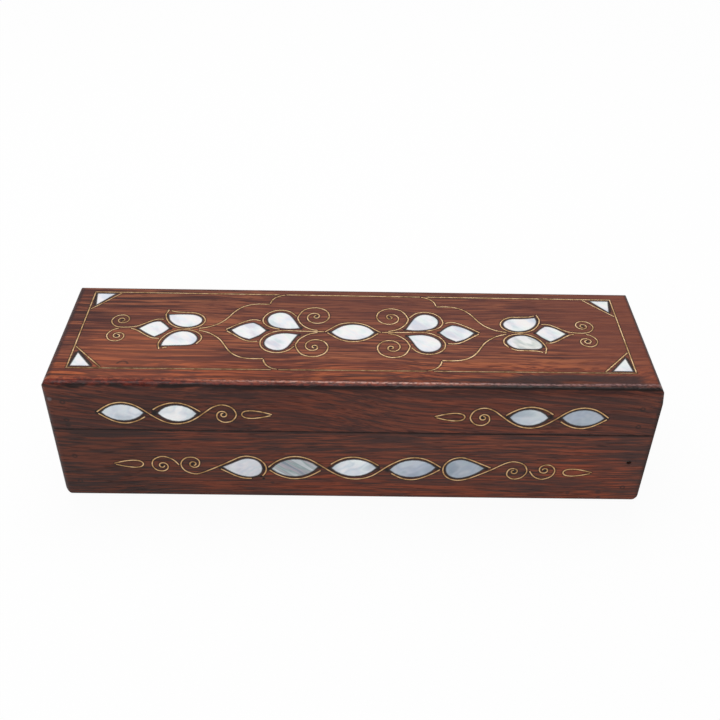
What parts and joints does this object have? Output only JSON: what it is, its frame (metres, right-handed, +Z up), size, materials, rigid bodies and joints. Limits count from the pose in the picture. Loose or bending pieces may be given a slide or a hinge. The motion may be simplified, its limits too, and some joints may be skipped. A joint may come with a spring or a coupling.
{
  "type": "inlaid wooden box",
  "caption": "Long low rectangular wooden box with a lid hinged along the back, its top and front inlaid with scrolling brass wire and leaf-shaped mother-of-pearl pieces.",
  "frame": {"origin": "on the resting surface, under the middle of the box", "axes": "+X along the box to the right as seen from the front, -Y towards the front with the inlaid side, +Z up"},
  "size_m": [0.25, 0.071, 0.062],
  "materials": {
    "top_wood": "satin",
    "lid_wood": "satin",
    "base_wood": "satin",
    "pearl": "gloss",
    "mastic": "matte",
    "wire_brass": "satin",
    "hinge_brass": "satin",
    "steel": "satin",
    "velvet": "matte"
  },
  "bodies": {
    "base": {"base_front_board": "base_wood", "base_back_board": "base_wood", "base_left_end": "base_wood", "base_right_end": "base_wood", "base_bottom_board": "base_wood", "base_corner_pins": "steel", "base_pin_fillers": "base_wood", "base_pearls": "pearl", "base_mastic": "mastic", "base_lens_wires": "wire_brass", "base_scroll_wires": "wire_brass", "base_floor_lining": "velvet", "base_wall_linings": "velvet", "left_hinge_base_leaf": "hinge_brass", "right_hinge_base_leaf": "hinge_brass", "left_hinge_pin": "hinge_brass", "right_hinge_pin": "hinge_brass", "base_hinge_screws": "hinge_brass"},
    "lid": {"lid_top_board": "top_wood", "lid_front_board": "lid_wood", "lid_back_board": "lid_wood", "lid_left_end": "lid_wood", "lid_right_end": "lid_wood", "lid_corner_pins": "steel", "lid_pin_fillers": "lid_wood", "top_flower_pearls": "pearl", "top_corner_pearls": "pearl", "top_mastic": "mastic", "top_border_wires": "wire_brass", "top_arch_wires": "wire_brass", "top_flower_wires": "wire_brass", "top_scroll_wires": "wire_brass", "lid_front_pearls": "pearl", "lid_front_mastic": "mastic", "lid_front_wires": "wire_brass", "lid_ceiling_lining": "velvet", "lid_wall_linings": "velvet", "left_hinge_lid_leaf": "hinge_brass", "right_hinge_lid_leaf": "hinge_brass", "lid_hinge_screws": "hinge_brass"}
  },
  "joints": [
    {"name": "lid_hinge", "type": "hinge", "parent": "base", "child": "lid", "pos_m": [0, 0.0335, 0.0382], "axis": [-1, 0, 0], "range_deg": [0, 100]}
  ]
}
